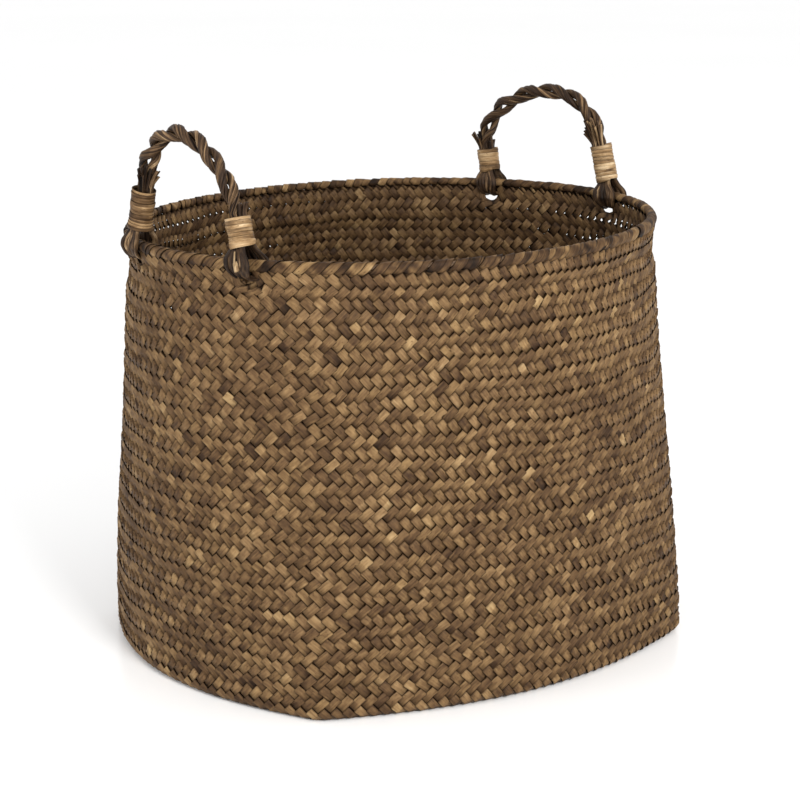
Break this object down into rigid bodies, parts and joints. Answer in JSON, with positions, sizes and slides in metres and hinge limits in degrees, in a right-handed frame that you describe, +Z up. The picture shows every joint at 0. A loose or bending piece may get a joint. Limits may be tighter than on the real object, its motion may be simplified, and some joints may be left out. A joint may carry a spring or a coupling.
{
  "type": "storage basket",
  "caption": "Tall open basket of bias-plaited seagrass with a squarish base, an oval folded rim and two twisted rope handles bound back on themselves.",
  "frame": {"origin": "middle of the base, on the floor the basket stands on", "axes": "+Z up; +X along the long axis of the oval rim, towards the right handle; the squarish base is turned 17 degrees back from it about +Z"},
  "size_m": [0.422, 0.3688, 0.3889],
  "materials": {
    "plaited_seagrass": "satin, plaited dried sedge",
    "rim_hoop": "split cane, hidden",
    "folded_rim": "satin, folded dried sedge",
    "rope": "satin, twisted stems",
    "binding_strip": "satin, pale flat strip",
    "trimmed_ends": "matte, frayed stem ends"
  },
  "bodies": {
    "basket": {"base_mat": "plaited_seagrass", "wall": "plaited_seagrass", "rim_core": "rim_hoop", "rim_hem": "folded_rim"},
    "left_handle": {"left_strand_a": "rope", "left_strand_b": "rope", "left_front_loop": "rope", "left_front_binding": "binding_strip", "left_front_tuft": "trimmed_ends", "left_rear_loop": "rope", "left_rear_binding": "binding_strip", "left_rear_tuft": "trimmed_ends"},
    "right_handle": {"right_strand_a": "rope", "right_strand_b": "rope", "right_front_loop": "rope", "right_front_binding": "binding_strip", "right_front_tuft": "trimmed_ends", "right_rear_loop": "rope", "right_rear_binding": "binding_strip", "right_rear_tuft": "trimmed_ends"}
  },
  "joints": [
    {"name": "left_handle_swing", "type": "hinge", "parent": "basket", "child": "left_handle", "pos_m": [-0.19517, 0.01656, 0.3046], "axis": [-0.1199, -0.9928, 0], "range_deg": [-95, 115]},
    {"name": "right_handle_swing", "type": "hinge", "parent": "basket", "child": "right_handle", "pos_m": [0.19572, 0, 0.3046], "axis": [0, 1, 0], "range_deg": [-95, 115]}
  ]
}
